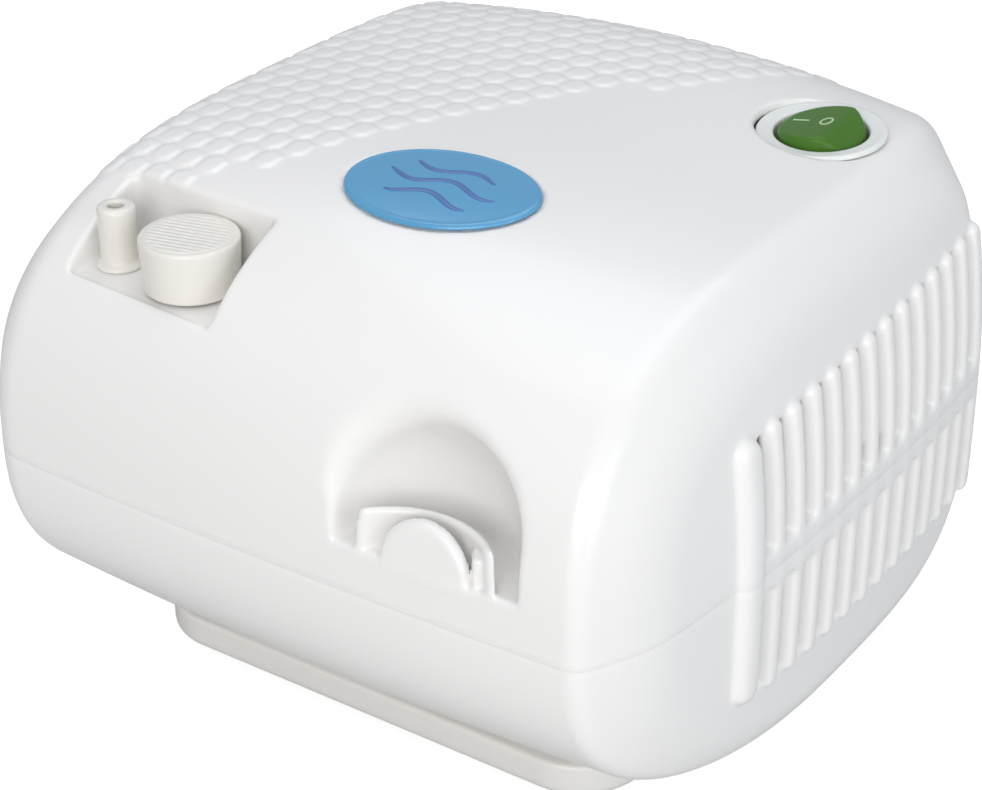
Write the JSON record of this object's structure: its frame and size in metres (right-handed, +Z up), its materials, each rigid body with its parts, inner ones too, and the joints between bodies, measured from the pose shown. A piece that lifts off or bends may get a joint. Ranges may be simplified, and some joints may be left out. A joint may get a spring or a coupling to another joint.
{
  "type": "compressor nebulizer",
  "caption": "Tabletop compressor nebulizer with a softened two-part casing, rocker switch, air outlet, filter cap, cup holder and vented ends.",
  "frame": {"origin": "centre of the footprint, on the surface the feet rest on", "axes": "+Z up, +X to the right seen from the front, the front with the cup holder faces -Y"},
  "size_m": [0.15, 0.15, 0.1072],
  "materials": {
    "casing_white": "moulded satin-gloss white",
    "fitting_cream": "moulded off-white",
    "rocker_green": "translucent green",
    "badge_blue": "sky-blue foil badge",
    "black_rubber": "soft",
    "steel": "plain",
    "lamination": "stacked sheet",
    "copper_coil": "enamelled copper wire",
    "bronze": "plain",
    "cast_alloy": "as cast",
    "black_plastic": "moulded black",
    "seal_ptfe": "filled PTFE",
    "filter_felt": "white felt",
    "hose": "silicone"
  },
  "bodies": {
    "housing": {"air_outlet_nozzle": "fitting_cream", "base_plinth": "casing_white", "bearing_bracket": "cast_alloy", "bearing_left": "bronze", "bearing_right": "bronze", "chassis_plate": "steel", "cylinder_head": "cast_alloy", "exhaust_reed": "steel", "filter_felt": "filter_felt", "filter_seat": "fitting_cream", "foot_1": "black_rubber", "foot_2": "black_rubber", "foot_3": "black_rubber", "foot_4": "black_rubber", "head_gasket": "black_rubber", "head_screw_1": "steel", "head_screw_2": "steel", "head_screw_3": "steel", "head_screw_4": "steel", "housing_screw_1": "steel", "housing_screw_2": "steel", "housing_screw_3": "steel", "housing_screw_4": "steel", "intake_hose": "hose", "intake_reed": "steel", "lower_housing": "casing_white", "mains_inlet": "black_plastic", "mains_pin_1": "bronze", "mains_pin_2": "bronze", "motor_coil": "copper_coil", "motor_mount_1": "black_rubber", "motor_mount_2": "black_rubber", "motor_mount_3": "black_rubber", "motor_mount_4": "black_rubber", "motor_stator": "lamination", "name_badge": "badge_blue", "outlet_hose": "hose", "pump_cylinder": "cast_alloy", "pump_frame": "cast_alloy", "switch_body": "casing_white", "switch_terminal_1": "bronze", "switch_terminal_2": "bronze", "thermal_fuse": "black_plastic", "upper_cover": "casing_white", "valve_plate": "steel"},
    "rocker": {"power_rocker": "rocker_green"},
    "cap": {"filter_cap": "fitting_cream"},
    "rotor": {"motor_rotor": "steel", "motor_shaft": "steel", "cooling_fan": "black_plastic", "crank_eccentric": "steel"},
    "piston": {"crank_bearing": "steel", "connecting_rod": "cast_alloy", "piston_cup_seal": "seal_ptfe", "cup_retainer": "cast_alloy", "retainer_screw": "steel"}
  },
  "joints": [
    {"name": "rocker_tip", "type": "hinge", "parent": "housing", "child": "rocker", "pos_m": [0.0474, 0.03445, 0.102], "axis": [0, 0.9986, 0.0523], "range_deg": [0, 13]},
    {"name": "cap_pull", "type": "slide", "parent": "housing", "child": "cap", "axis": [0, 0, 1], "range_m": [0, 0.025]},
    {"name": "rotor_spin", "type": "hinge", "parent": "housing", "child": "rotor", "pos_m": [0, -0.004, 0.047], "axis": [1, 0, 0], "continuous": true},
    {"name": "crank_pin", "type": "hinge", "parent": "rotor", "child": "piston", "pos_m": [0.035, -0.004, 0.0494], "axis": [1, 0, 0], "continuous": true}
  ],
  "couplings": [
    {"joint": "crank_pin", "follows": "rotor_spin", "ratio": -1}
  ]
}
